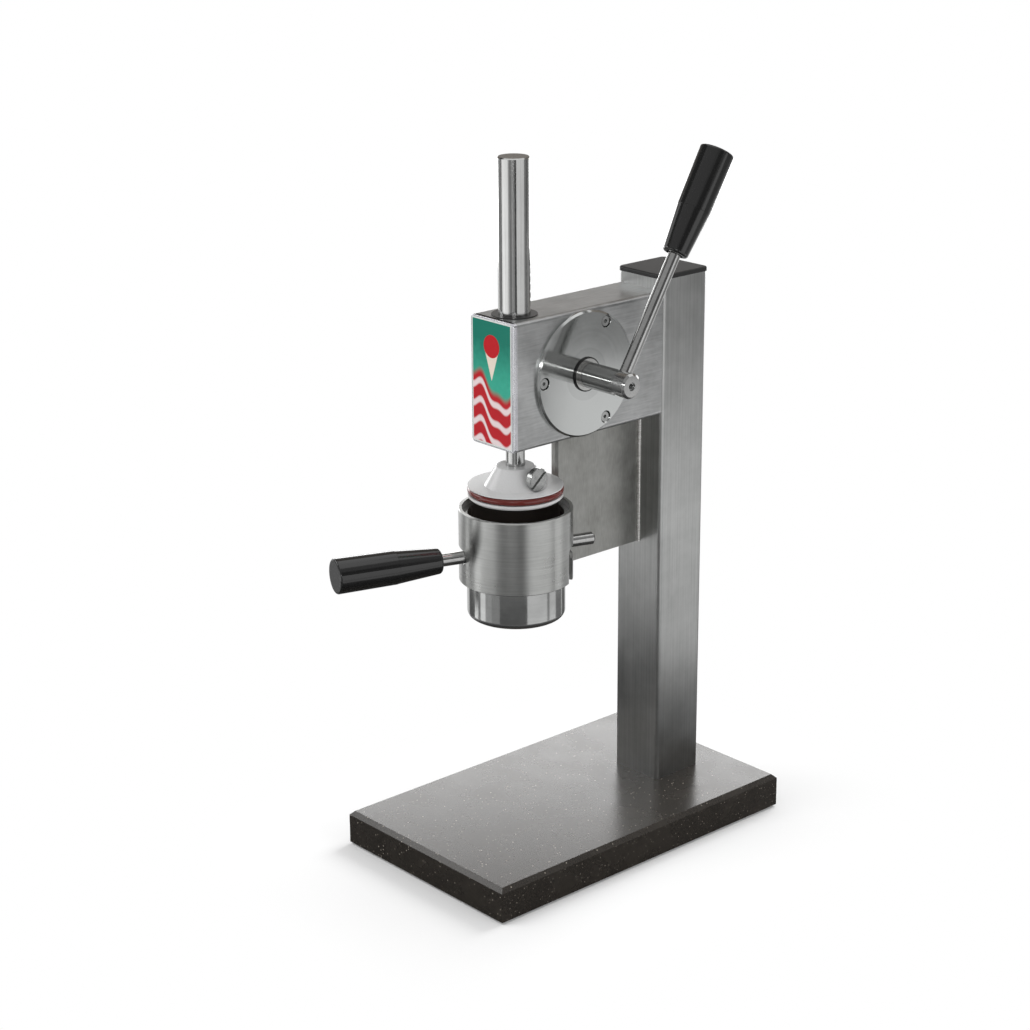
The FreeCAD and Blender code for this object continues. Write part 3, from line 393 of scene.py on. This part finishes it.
def ground_stainless(name, lines, colours, roughness, bloom=0.4, relief=0.0, anisotropy=0.5,
                     along=(0, 0, 1), about=None, centre=(0, 0, 0), round_to=None, film_and_shade=None):
    """Stainless steel with fine marks of its grinding, drawn wider than they are so that
    they show. lines is how far a mark runs in X, Y and Z. Straight marks lie along an
    axis, and turned marks run about one through a centre. Marks smear a reflection
    across. A bar that is round to a radius is shaded as truly round, not in facets.
    A dark colour may be given for the walls of a bore, and there the steel is not metal:
    in part the film left by what was pressed through it, in part painted shade."""
    cloud = 26 * MM
    noise_low, noise_high = 0.34, 0.66
    groove = 0.02 * MM
    facet_depth = 0.12 * MM
    smallest_bore = 20 * MM
    material = new_material(name)
    tree = material.node_tree
    marks = add_node(tree, "ShaderNodeTexNoise", None,
                     {"Vector": object_place(tree, [1 / run for run in lines], centre),
                      "Scale": 1.0, "Detail": 2.0, "Roughness": 0.6})
    clouds = add_node(tree, "ShaderNodeTexNoise", None,
                      {"Vector": object_place(tree, [1 / cloud] * 3), "Scale": 1.0, "Detail": 3.0,
                       "Roughness": 0.65})
    tone = add_node(tree, "ShaderNodeMix", {"data_type": "FLOAT"},
                    {"Factor": bloom, 2: marks.outputs["Fac"], 3: clouds.outputs["Fac"]})
    spread = add_node(tree, "ShaderNodeMapRange", None,
                      {"Value": tone.outputs[0], "From Min": noise_low, "From Max": noise_high})
    colour = add_node(tree, "ShaderNodeMix", {"data_type": "RGBA"},
                      {"Factor": spread.outputs[0], 6: linear(colours[0]), 7: linear(colours[1])})
    rough = add_node(tree, "ShaderNodeMapRange", None,
                     {"Value": clouds.outputs["Fac"], "From Min": noise_low, "From Max": noise_high,
                      "To Min": roughness[0], "To Max": roughness[1]})
    normal = add_node(tree, "ShaderNodeNewGeometry").outputs["Normal"]
    run = along
    if about:
        place = object_place(tree, (1, 1, 1), centre)
        run = add_node(tree, "ShaderNodeVectorMath", {"operation": "CROSS_PRODUCT"},
                       {0: about, 1: place}).outputs[0]
    if round_to:
        across = add_node(tree, "ShaderNodeVectorMath", {"operation": "CROSS_PRODUCT"},
                          {0: run, 1: about}).outputs[0]
        outwards = add_node(tree, "ShaderNodeVectorMath", {"operation": "NORMALIZE"}, {0: across})
        radius = add_node(tree, "ShaderNodeVectorMath", {"operation": "LENGTH"}, {0: across})
        on_bar = add_node(tree, "ShaderNodeMath", {"operation": "GREATER_THAN"},
                          {0: radius.outputs["Value"], 1: round_to - facet_depth})
        normal = add_node(tree, "ShaderNodeMix", {"data_type": "VECTOR"},
                          {"Factor": on_bar.outputs[0], 4: normal, 5: outwards.outputs[0]}).outputs[1]
    surface = normal
    if relief:
        surface = add_node(tree, "ShaderNodeBump", None,
                           {"Height": marks.outputs["Fac"], "Strength": relief,
                            "Distance": groove, "Normal": normal}).outputs[0]
    smear = add_node(tree, "ShaderNodeVectorMath", {"operation": "CROSS_PRODUCT"},
                     {0: normal, 1: run})
    tangent = add_node(tree, "ShaderNodeVectorMath", {"operation": "NORMALIZE"},
                       {0: smear.outputs[0]})
    shade, metal = colour.outputs[2], 1.0
    # Painted shade and film: walls that face the axis, as in a bore, take the dark colour and are not
    # metal.
    if film_and_shade:
        out = add_node(tree, "ShaderNodeVectorMath", {"operation": "MULTIPLY"},
                       {0: place, 1: (1, 1, 0)})
        facing = add_node(tree, "ShaderNodeVectorMath", {"operation": "DOT_PRODUCT"},
                          {0: out.outputs[0], 1: normal})
        bare = add_node(tree, "ShaderNodeMath", {"operation": "GREATER_THAN"},
                        {0: facing.outputs["Value"], 1: -smallest_bore})
        metal = bare.outputs[0]
        shade = add_node(tree, "ShaderNodeMix", {"data_type": "RGBA"},
                         {"Factor": metal, 6: linear(film_and_shade), 7: shade}).outputs[2]
    shader = add_node(tree, "ShaderNodeBsdfPrincipled", None,
                      {"Base Color": shade, "Metallic": metal,
                       "Roughness": rough.outputs[0], "Anisotropic": anisotropy,
                       "Tangent": tangent.outputs[0], "Normal": surface})
    return finish_material(material, shader)


paint_node(ground_stainless("belt_ground_stainless_upright", (1.6 * MM, 1.6 * MM, 160 * MM),
                            ("abacab", "c3c4c3"), (0.31, 0.34), bloom=0.5,
                            anisotropy=0.4), "column")


# A moulded lid closes the column's top. Inside its foot sits a machined block,
# pulled down by two zinc plated bolts with washers, which come up from below.


def smooth_plastic(name, colour_hex, roughness, ior=1.5):
    """Plastic or rubber, moulded or turned: one colour and an even gloss, with the grain
    of the mould or tool drawn coarser than it is."""
    grain_size, grain_height = 1.2 * MM, 0.01 * MM
    shade_of_grain = 0.88
    material = new_material(name)
    tree = material.node_tree
    grain = add_node(tree, "ShaderNodeTexNoise", None,
                     {"Vector": object_place(tree, [1 / grain_size] * 3), "Scale": 1.0,
                      "Detail": 3.0})
    base = linear(colour_hex)
    darker = [channel * shade_of_grain for channel in base[:3]] + [1]
    colour = add_node(tree, "ShaderNodeMix", {"data_type": "RGBA"},
                      {"Factor": grain.outputs["Fac"], 6: darker, 7: base})
    bump = add_node(tree, "ShaderNodeBump", None,
                    {"Height": grain.outputs["Fac"], "Strength": 0.3, "Distance": grain_height})
    shader = add_node(tree, "ShaderNodeBsdfPrincipled", None,
                      {"Base Color": colour.outputs[2], "Roughness": roughness, "IOR": ior,
                       "Normal": bump.outputs[0]})
    return finish_material(material, shader)


paint_node(smooth_plastic("black_moulded_polyethylene", "1f1f1f", 0.42), "column_cap")
paint_node(ground_stainless("milled_mild_steel", (9 * MM, 1.2 * MM, 9 * MM),
                            ("6f6d69", "8a8783"), (0.35, 0.45), relief=0.2, along=(1, 0, 0)),
           "column_foot")
paint_node(ground_stainless("zinc_plated_steel", (1.5 * MM, 1.5 * MM, 1.5 * MM),
                            ("a3a6a8", "c2c3bd"), (0.28, 0.4), bloom=0.5, anisotropy=0.0),
           "base_bolts", "base_washers")

# The head is rectangular tube with the same belt finish, rubbed dull by hand, so
# that its lines nearly vanish in the bloom. A brighter plate closes its front.
head_steel = ground_stainless("hand_rubbed_stainless_tube", (1.6 * MM, 24 * MM, 1.6 * MM),
                              ("acadad", "cfd0d0"), (0.30, 0.36), bloom=0.6,
                              anisotropy=0.4, along=(0, 1, 0))
cover_steel = ground_stainless("fine_ground_stainless_plate", (1.6 * MM, 14 * MM, 14 * MM),
                               ("cfcfd4", "e2e2e6"), (0.2, 0.28), bloom=0.5)
paint_node(head_steel, "head_housing")
paint_node(cover_steel, "head_front_cover")


# The label is printed film, stuck on the front inside a thin pale border. A plain
# ice cream cone stands on green, above rolling red and white waves.


def printed_label_film():
    """Polyester film, printed: even colours under a hard gloss, with a slight mottle."""
    low, high = (Vector(corner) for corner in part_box("front_label"))
    middle = (low + high) / 2
    half = (high - low) / 2
    border = 1.0 * MM
    scoop_height, scoop_radius = 29 * MM, 9 * MM
    cone_top, cone_tip, cone_half = 26 * MM, 2 * MM, 8 * MM
    wave_top, shore = -6 * MM, 7 * MM
    wave_pitch = 15 * MM
    wave_slope = 0.35
    foam_edge = (0.1, 0.9)
    rolls = ((41 * MM, 0.5, 5 * MM), (19 * MM, 2.2, 2.2 * MM))
    mottle = 5 * MM
    material = new_material("printed_label_film")
    tree = material.node_tree
    place = object_place(tree, (1, 1, 1), middle)
    axes = add_node(tree, "ShaderNodeSeparateXYZ", None, {0: place})
    sideways, upwards = axes.outputs["X"], axes.outputs["Z"]
    patches = add_node(tree, "ShaderNodeTexNoise", None,
                       {"Vector": object_place(tree, [1 / mottle] * 3), "Scale": 1.0, "Detail": 4.0})

    level = add_node(tree, "ShaderNodeMath", {"operation": "MULTIPLY_ADD"},
                     {0: sideways, 1: wave_slope, 2: upwards}).outputs[0]
    for length, start, height in rolls:
        angle = add_node(tree, "ShaderNodeMath", {"operation": "MULTIPLY_ADD"},
                         {0: sideways, 1: 2 * math.pi / length, 2: start})
        roll = add_node(tree, "ShaderNodeMath", {"operation": "SINE"}, {0: angle.outputs[0]})
        level = add_node(tree, "ShaderNodeMath", {"operation": "MULTIPLY_ADD"},
                         {0: roll.outputs[0], 1: height, 2: level}).outputs[0]
    angle = add_node(tree, "ShaderNodeMath", {"operation": "MULTIPLY"},
                     {0: level, 1: 2 * math.pi / wave_pitch})
    wave = add_node(tree, "ShaderNodeMath", {"operation": "SINE"}, {0: angle.outputs[0]})
    foam = add_node(tree, "ShaderNodeMapRange", {"interpolation_type": "SMOOTHSTEP"},
                    {"Value": wave.outputs[0], "From Min": foam_edge[0],
                     "From Max": foam_edge[1]})
    waves = add_node(tree, "ShaderNodeMix", {"data_type": "RGBA"},
                     {"Factor": foam.outputs[0], 6: linear("bf1220"), 7: linear("f1dfe0")})
    rise = add_node(tree, "ShaderNodeMapRange", {"interpolation_type": "SMOOTHSTEP"},
                    {"Value": upwards, "From Min": wave_top, "From Max": half.z})
    shade = add_node(tree, "ShaderNodeMath", {"operation": "MULTIPLY_ADD"},
                     {0: patches.outputs["Fac"], 1: 0.4, 2: rise.outputs[0]})
    green = add_node(tree, "ShaderNodeMix", {"data_type": "RGBA"},
                     {"Factor": shade.outputs[0], 6: linear("3fb79c"), 7: linear("0d7a67")})
    inland = add_node(tree, "ShaderNodeMapRange", {"interpolation_type": "SMOOTHSTEP"},
                      {"Value": level, "From Min": wave_top, "From Max": wave_top + shore})
    field = add_node(tree, "ShaderNodeMix", {"data_type": "RGBA"},
                     {"Factor": inland.outputs[0], 6: waves.outputs[2], 7: green.outputs[2]})

    taper = add_node(tree, "ShaderNodeMapRange", None,
                     {"Value": upwards, "From Min": cone_tip, "From Max": cone_top,
                      "To Min": 0.0, "To Max": cone_half})
    out = add_node(tree, "ShaderNodeMath", {"operation": "ABSOLUTE"}, {0: sideways})
    narrow = add_node(tree, "ShaderNodeMath", {"operation": "LESS_THAN"},
                      {0: out.outputs[0], 1: taper.outputs[0]})
    below = add_node(tree, "ShaderNodeMath", {"operation": "LESS_THAN"}, {0: upwards, 1: cone_top})
    in_cone = add_node(tree, "ShaderNodeMath", {"operation": "MULTIPLY"},
                       {0: narrow.outputs[0], 1: below.outputs[0]})
    with_cone = add_node(tree, "ShaderNodeMix", {"data_type": "RGBA"},
                         {"Factor": in_cone.outputs[0], 6: field.outputs[2], 7: linear("f0e3d2")})
    away = add_node(tree, "ShaderNodeVectorMath", {"operation": "DISTANCE"},
                    {0: place, 1: (0, 0, scoop_height)})
    in_scoop = add_node(tree, "ShaderNodeMath", {"operation": "LESS_THAN"},
                        {0: away.outputs["Value"], 1: scoop_radius})
    art = add_node(tree, "ShaderNodeMix", {"data_type": "RGBA"},
                   {"Factor": in_scoop.outputs[0], 6: with_cone.outputs[2], 7: linear("c4101c")})

    sides = []
    for offset, reach in ((sideways, half.x), (upwards, half.z)):
        out = add_node(tree, "ShaderNodeMath", {"operation": "ABSOLUTE"}, {0: offset})
        sides.append(add_node(tree, "ShaderNodeMath", {"operation": "GREATER_THAN"},
                              {0: out.outputs[0], 1: reach - border}).outputs[0])
    bordered = add_node(tree, "ShaderNodeMath", {"operation": "MAXIMUM"}, {0: sides[0], 1: sides[1]})
    colour = add_node(tree, "ShaderNodeMix", {"data_type": "RGBA"},
                      {"Factor": bordered.outputs[0], 6: art.outputs[2], 7: linear("dfe3e0")})
    shader = add_node(tree, "ShaderNodeBsdfPrincipled", None,
                      {"Base Color": colour.outputs[2], "Roughness": 0.16})
    return finish_material(material, shader)


paint_node(printed_label_film(), "front_label")

# The bracket is one upright plate with a dull mill finish, welded to the column
# and the sleeve. Its beads keep the ripples of the welder's hand.
bracket_steel = ground_stainless("mill_finish_stainless_plate", (1.2 * MM, 1.2 * MM, 8 * MM),
                                 ("93938f", "b5b5b2"), (0.36, 0.44), bloom=0.65, relief=0.08,
                                 anisotropy=0.3)
weld_steel = ground_stainless("tig_weld_bead", (6 * MM, 6 * MM, 1.3 * MM),
                              ("c4c2be", "f6f5f2"), (0.2, 0.3), bloom=0.2, relief=1.0,
                              anisotropy=0.0)
paint_node(bracket_steel, "bracket_plate")
paint_node(weld_steel, "bracket_welds")

# Sleeve and cup ring are cut from thick tube and turned on a lathe. The fine
# turned lines run round them and draw reflections out into upright bands.
# Its bore is dark: in part the film of what is pressed, in part painted shade.
sleeve_steel = ground_stainless("turned_stainless_sleeve", (40 * MM, 40 * MM, 1.4 * MM),
                                ("b2b3b1", "c8c9c7"), (0.27, 0.30), bloom=0.5,
                                anisotropy=0.4, about=(0, 0, 1), centre=ram_axis,
                                film_and_shade="4a4440")
paint_node(sleeve_steel, "cup_sleeve", "cup_ring")

# The cup's thin tube and its holed die are polished to a near mirror, so that
# nothing sticks to them.
# Its bore is dark: in part the film of what is pressed, in part painted shade.
tube_steel = ground_stainless("polished_stainless_tube", (30 * MM, 30 * MM, 2 * MM),
                              ("b8b9b8", "c6c7c6"), (0.10, 0.14), bloom=0.7,
                              anisotropy=0.2, about=(0, 0, 1), centre=ram_axis, film_and_shade="4a4440")
paint_node(tube_steel, "cup_tube", "die_plate")

# The ram is a round bar, ground between wheels and polished, with a rack cut in
# its back. It slides in two black bushes, and a third carries the crank's far end.
ram_radius = 12.5 * MM
ram_steel = ground_stainless("polished_stainless_ram", (1.2 * MM, 1.2 * MM, 150 * MM),
                             ("b4b4b3", "c9cac9"), (0.14, 0.17), bloom=0.3, anisotropy=0.3,
                             about=(0, 0, 1), centre=ram_axis, round_to=ram_radius)
paint_node(ram_steel, "ram_rack_bar")
black_acetal = smooth_plastic("black_turned_acetal", "101010", 0.3)
paint_node(black_acetal, "ram_bush_top", "ram_bush_bottom", "shaft_bush_left")

# The piston is turned from white acetal. Its brown ring wipes the cup's wall, and
# one slotted screw clamps it to the ram.
paint_node(smooth_plastic("white_turned_acetal", "d4d4d4", 0.2), "piston")
paint_node(smooth_plastic("brown_silicone_rubber", "66201a", 0.16, ior=1.6), "piston_o_ring")

# The crank shaft turns in a round flange and a boss, all turned and polished. The
# flange's face is a mirror that shows the shaft standing on it.
flange_low, flange_high = (Vector(corner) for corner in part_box("bearing_flange"))
shaft_axis = (flange_low + flange_high) / 2
shaft_axis.x = 0
shaft_radius = 10 * MM
shaft_steel = ground_stainless("polished_stainless_shaft", (25 * MM, 1.2 * MM, 1.2 * MM),
                               ("b4b4b3", "c4c4c3"), (0.08, 0.11), bloom=0.4, anisotropy=0.3,
                               about=(1, 0, 0), centre=shaft_axis, round_to=shaft_radius)
screw_steel = ground_stainless("turned_stainless_screw", (0.8 * MM, 5 * MM, 5 * MM),
                               ("a6a7a6", "c4c5c4"), (0.18, 0.26), bloom=0.5, relief=0.05,
                               anisotropy=0.0)
paint_node(shaft_steel, "crank_shaft")
paint_node(screw_steel, "piston_clamp_screw", "flange_screws", "left_bearing_boss",
           "lever_grub_screw")


def faced_flange_steel():
    """Stainless steel, faced on a lathe and buffed: a cool mirror with a few faint rings
    of the tool, and painted shade: dark below the face in the sunk screw holes and bore."""
    ring_spacing = 2.4 * MM
    step_start, step_end, step_shade = 20.6 * MM, 21.1 * MM, 0.93
    painted_shade_depth = 0.25 * MM
    rim = 47 * MM
    cloud = 24 * MM
    material = new_material("faced_and_buffed_stainless")
    tree = material.node_tree
    place = object_place(tree, (1, 1, 1), shaft_axis)
    radial = add_node(tree, "ShaderNodeVectorMath", {"operation": "MULTIPLY"}, {0: place, 1: (0, 1, 1)})
    radius = add_node(tree, "ShaderNodeVectorMath", {"operation": "LENGTH"},
                      {0: radial.outputs[0]}).outputs["Value"]
    turns = add_node(tree, "ShaderNodeMath", {"operation": "DIVIDE"}, {0: radius, 1: ring_spacing})
    rings = add_node(tree, "ShaderNodeTexNoise", {"noise_dimensions": "1D"},
                     {"W": turns.outputs[0], "Scale": 1.0, "Detail": 3.0})
    clouds = add_node(tree, "ShaderNodeTexNoise", None,
                      {"Vector": object_place(tree, [1 / cloud] * 3), "Scale": 1.0, "Detail": 4.0})
    tone = add_node(tree, "ShaderNodeMix", {"data_type": "FLOAT"},
                    {"Factor": 0.8, 2: rings.outputs["Fac"], 3: clouds.outputs["Fac"]})
    bare = add_node(tree, "ShaderNodeMix", {"data_type": "RGBA"},
                    {"Factor": tone.outputs[0], 6: linear("bec0bf"), 7: linear("d2d4d3")})
    step = add_node(tree, "ShaderNodeMapRange", {"interpolation_type": "SMOOTHSTEP"},
                    {"Value": radius, "From Min": step_start, "From Max": step_end,
                     "To Min": step_shade, "To Max": 1.0})
    stepped = add_node(tree, "ShaderNodeVectorMath", {"operation": "SCALE"},
                       {0: bare.outputs[2], "Scale": step.outputs[0]})
    axes = add_node(tree, "ShaderNodeSeparateXYZ", None, {0: place})
    # Painted shade: inside the rim, all that lies below the face is dark, which shows in the sunk screw
    # holes and the bore.
    sunk = add_node(tree, "ShaderNodeMath", {"operation": "LESS_THAN"},
                    {0: axes.outputs["X"], 1: flange_high.x - painted_shade_depth})
    inside = add_node(tree, "ShaderNodeMath", {"operation": "LESS_THAN"}, {0: radius, 1: rim})
    painted_shade = add_node(tree, "ShaderNodeMath", {"operation": "MULTIPLY"},
                      {0: sunk.outputs[0], 1: inside.outputs[0]})
    colour = add_node(tree, "ShaderNodeMix", {"data_type": "RGBA"},
                      {"Factor": painted_shade.outputs[0], 6: stepped.outputs[0], 7: linear("2a2a29")})
    rough = add_node(tree, "ShaderNodeMapRange", None,
                     {"Value": tone.outputs[0], "From Min": 0.3, "From Max": 0.7, "To Min": 0.09,
                      "To Max": 0.15})
    shader = add_node(tree, "ShaderNodeBsdfPrincipled", None,
                      {"Base Color": colour.outputs[2], "Metallic": 1.0,
                       "Roughness": rough.outputs[0]})
    return finish_material(material, shader)


paint_node(faced_flange_steel(), "bearing_flange")


def steel_backed_bush():
    """A dry bush: a bright rolled steel lip next to the shaft, and black seal round it."""
    lip = 12.6 * MM
    material = new_material("steel_backed_bush")
    tree = material.node_tree
    place = object_place(tree, (0, 1, 1), shaft_axis)
    radius = add_node(tree, "ShaderNodeVectorMath", {"operation": "LENGTH"}, {0: place})
    sealed = add_node(tree, "ShaderNodeMath", {"operation": "GREATER_THAN"},
                      {0: radius.outputs["Value"], 1: lip})
    bare = add_node(tree, "ShaderNodeMath", {"operation": "SUBTRACT"}, {0: 1.0, 1: sealed.outputs[0]})
    colour = add_node(tree, "ShaderNodeMix", {"data_type": "RGBA"},
                      {"Factor": sealed.outputs[0], 6: linear("c9c9c7"), 7: linear("101010")})
    shader = add_node(tree, "ShaderNodeBsdfPrincipled", None,
                      {"Base Color": colour.outputs[2], "Metallic": bare.outputs[0],
                       "Roughness": 0.18})
    return finish_material(material, shader)


paint_node(steel_backed_bush(), "shaft_bush_right")

# The pinion is cut from alloy steel and left oiled. Its key is bright drawn bar,
# and two blackened spring rings hold it on the shaft.
paint_node(ground_stainless("oiled_gear_steel", (12 * MM, 1.5 * MM, 1.5 * MM),
                            ("5c5a57", "7d7a76"), (0.2, 0.32), bloom=0.5, relief=0.2,
                            along=(1, 0, 0)), "pinion")
paint_node(ground_stainless("bright_drawn_key_steel", (14 * MM, 0.8 * MM, 0.8 * MM),
                            ("a09f9b", "b7b5b0"), (0.22, 0.3), along=(1, 0, 0)), "pinion_key")
paint_node(ground_stainless("blackened_spring_steel", (2 * MM, 2 * MM, 2 * MM),
                            ("232324", "3a3a3b"), (0.3, 0.4), anisotropy=0.0),
           "pinion_circlips")

# Lever, cup handle and rear pin are lengths of the same polished bar. Machine
# grips of black phenolic, moulded and tumbled to a gloss, are screwed on.
bar_steel = ground_stainless("polished_stainless_bar", (3 * MM, 3 * MM, 3 * MM),
                             ("b0b0af", "c2c2c1"), (0.12, 0.16), bloom=0.5, anisotropy=0.0)
paint_node(bar_steel, "lever_rod", "cup_handle_bar", "cup_rear_pin")
paint_node(smooth_plastic("black_moulded_phenolic", "141414", 0.14, ior=1.65),
           "lever_grip", "cup_handle_grip")
